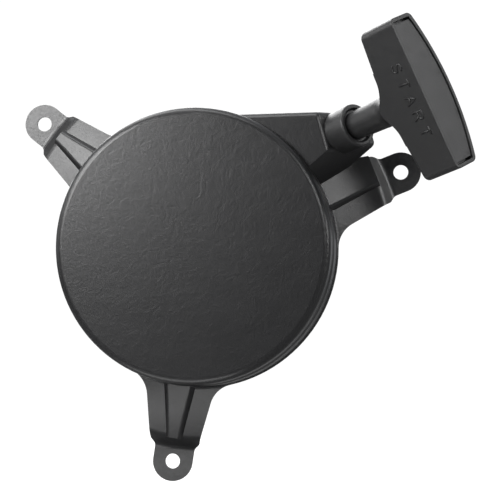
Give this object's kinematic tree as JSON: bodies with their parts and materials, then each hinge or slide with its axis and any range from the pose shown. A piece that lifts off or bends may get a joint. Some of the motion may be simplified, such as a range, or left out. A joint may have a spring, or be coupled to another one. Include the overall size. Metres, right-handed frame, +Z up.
{
  "type": "recoil starter",
  "caption": "Pull-rope recoil starter with a pressed-steel drum housing on stepped bolt-on legs, a spring-returned rope reel with pawls behind it, and a T handle seated in a rope guide.",
  "frame": {"origin": "centre of the three-bolt circle on the mounting face, on the shaft axis", "axes": "+Y along the shaft towards the engine, -Y out of the drum's front, +Z up as bolted on, +X to the rope guide's side"},
  "size_m": [0.215, 0.0822, 0.2056],
  "materials": {
    "housing_paint": "semi-gloss black paint on pressed steel",
    "guide_plastic": "satin black moulded plastic",
    "plated_steel": "zinc plated, lightly mottled",
    "spring_steel": "blued spring steel",
    "rope": "braided white nylon",
    "reel_nylon": "natural moulded nylon, pale green",
    "bronze_bush": "sintered bronze",
    "pawl_steel": "hardened steel",
    "handle_plastic": "satin black moulded plastic",
    "cap_plastic": "satin charcoal moulded plastic"
  },
  "bodies": {
    "housing": {"housing_shell": "housing_paint", "rope_guide": "guide_plastic", "starter_shaft": "plated_steel", "spring_hub": "plated_steel", "thrust_washer": "plated_steel", "brake_spring": "spring_steel", "retaining_washer": "plated_steel", "retaining_nut": "plated_steel", "rope_lead": "rope"},
    "reel": {"reel": "reel_nylon", "reel_bushing": "bronze_bush", "recoil_spring": "spring_steel", "rope_coil": "rope", "rope_reel_knot": "rope", "pawl_pin_a": "plated_steel", "pawl_pin_b": "plated_steel"},
    "pawl_a": {"pawl_a": "pawl_steel"},
    "pawl_b": {"pawl_b": "pawl_steel"},
    "friction_plate": {"friction_plate": "plated_steel"},
    "handle": {"handle_grip": "handle_plastic", "handle_cap": "cap_plastic", "handle_washer": "plated_steel", "handle_rope": "rope", "handle_knot": "rope"}
  },
  "joints": [
    {"name": "handle_pull", "type": "slide", "parent": "housing", "child": "handle", "axis": [0.7077, -0.6794, 0.1936], "range_m": [0, 0.75], "stiffness_N_per_m": 27, "springref_m": -0.4},
    {"name": "reel_spin", "type": "hinge", "parent": "housing", "child": "reel", "pos_m": [0, 0, 0], "axis": [0, 1, 0], "range_deg": [0, 900], "deforming": ["recoil_spring", "rope_coil", "rope_lead"]},
    {"name": "plate_turn", "type": "hinge", "parent": "reel", "child": "friction_plate", "pos_m": [0, 0, 0], "axis": [0, -1, 0], "range_deg": [0, 16]},
    {"name": "pawl_a_swing", "type": "hinge", "parent": "reel", "child": "pawl_a", "pos_m": [0.01065, -0.012, 0.00746], "axis": [0, -1, 0], "range_deg": [0, 42.5]},
    {"name": "pawl_b_swing", "type": "hinge", "parent": "reel", "child": "pawl_b", "pos_m": [-0.01065, -0.012, -0.00746], "axis": [0, -1, 0], "range_deg": [0, 42.5]}
  ],
  "couplings": [
    {"joint": "reel_spin", "follows": "handle_pull", "rad_per_m": 20.661},
    {"joint": "pawl_a_swing", "follows": "plate_turn", "ratio": 2.625},
    {"joint": "pawl_b_swing", "follows": "plate_turn", "ratio": 2.625}
  ]
}
